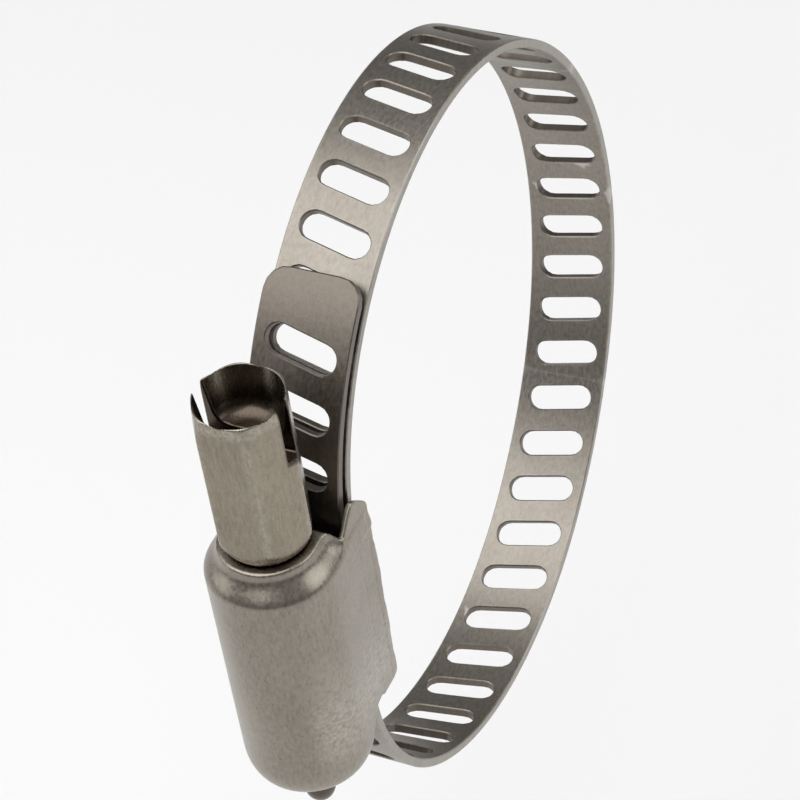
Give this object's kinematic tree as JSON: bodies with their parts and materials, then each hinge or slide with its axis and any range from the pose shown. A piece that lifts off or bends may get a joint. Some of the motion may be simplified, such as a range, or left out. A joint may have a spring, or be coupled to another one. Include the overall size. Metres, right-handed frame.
{
  "type": "hose clamp",
  "caption": "Worm-drive hose clamp: a slotted steel band looped through a pressed housing, closed by a slotted hex-head screw.",
  "frame": {"origin": "centre of the closed loop, where the axis of the hose runs", "axes": "+X outward through the screw housing, +Y across the band along the hose, +Z along the screw towards its head"},
  "size_m": [0.0647, 0.0108, 0.0661],
  "materials": {
    "band_steel": "satin stainless strip, fine grain along the band",
    "housing_steel": "pressed stainless sheet, satin",
    "screw_steel": "plated steel, semi-bright"
  },
  "bodies": {
    "housing": {"housing": "housing_steel", "band_anchor": "band_steel"},
    "screw": {"screw": "screw_steel"},
    "band_crown": {"band_crown": "band_steel"},
    "band_back": {"band_back": "band_steel"},
    "band_strip": {"band_strip": "band_steel"},
    "band_tail": {"band_tail": "band_steel"}
  },
  "joints": [
    {"name": "screw_turn", "type": "hinge", "parent": "housing", "child": "screw", "pos_m": [0.03216, 0, 0], "axis": [0, 0, -1], "range_deg": [-180, 540]},
    {"name": "crown_flex", "type": "hinge", "parent": "housing", "child": "band_crown", "pos_m": [0.00058, 0, 0.03204], "axis": [0, 1, 0], "range_deg": [-2.26, 6.67]},
    {"name": "back_flex", "type": "hinge", "parent": "band_crown", "child": "band_back", "pos_m": [-0.02685, 0, 0], "axis": [0, 1, 0], "range_deg": [-13.06, 4.39]},
    {"name": "lower_flex", "type": "hinge", "parent": "band_back", "child": "band_strip", "pos_m": [0.00052, 0, -0.03313], "axis": [0, 1, 0], "range_deg": [-2.18, 6.45]},
    {"name": "tail_flex", "type": "hinge", "parent": "band_strip", "child": "band_tail", "pos_m": [0.02778, 0, 0.01101], "axis": [0, 1, 0], "range_deg": [-14.65, 4.92]}
  ],
  "couplings": [
    {"joint": "crown_flex", "follows": "screw_turn", "ratio": 0.012253},
    {"joint": "back_flex", "follows": "screw_turn", "ratio": -0.024099},
    {"joint": "lower_flex", "follows": "screw_turn", "ratio": 0.011846},
    {"joint": "tail_flex", "follows": "screw_turn", "ratio": -0.02704}
  ]
}
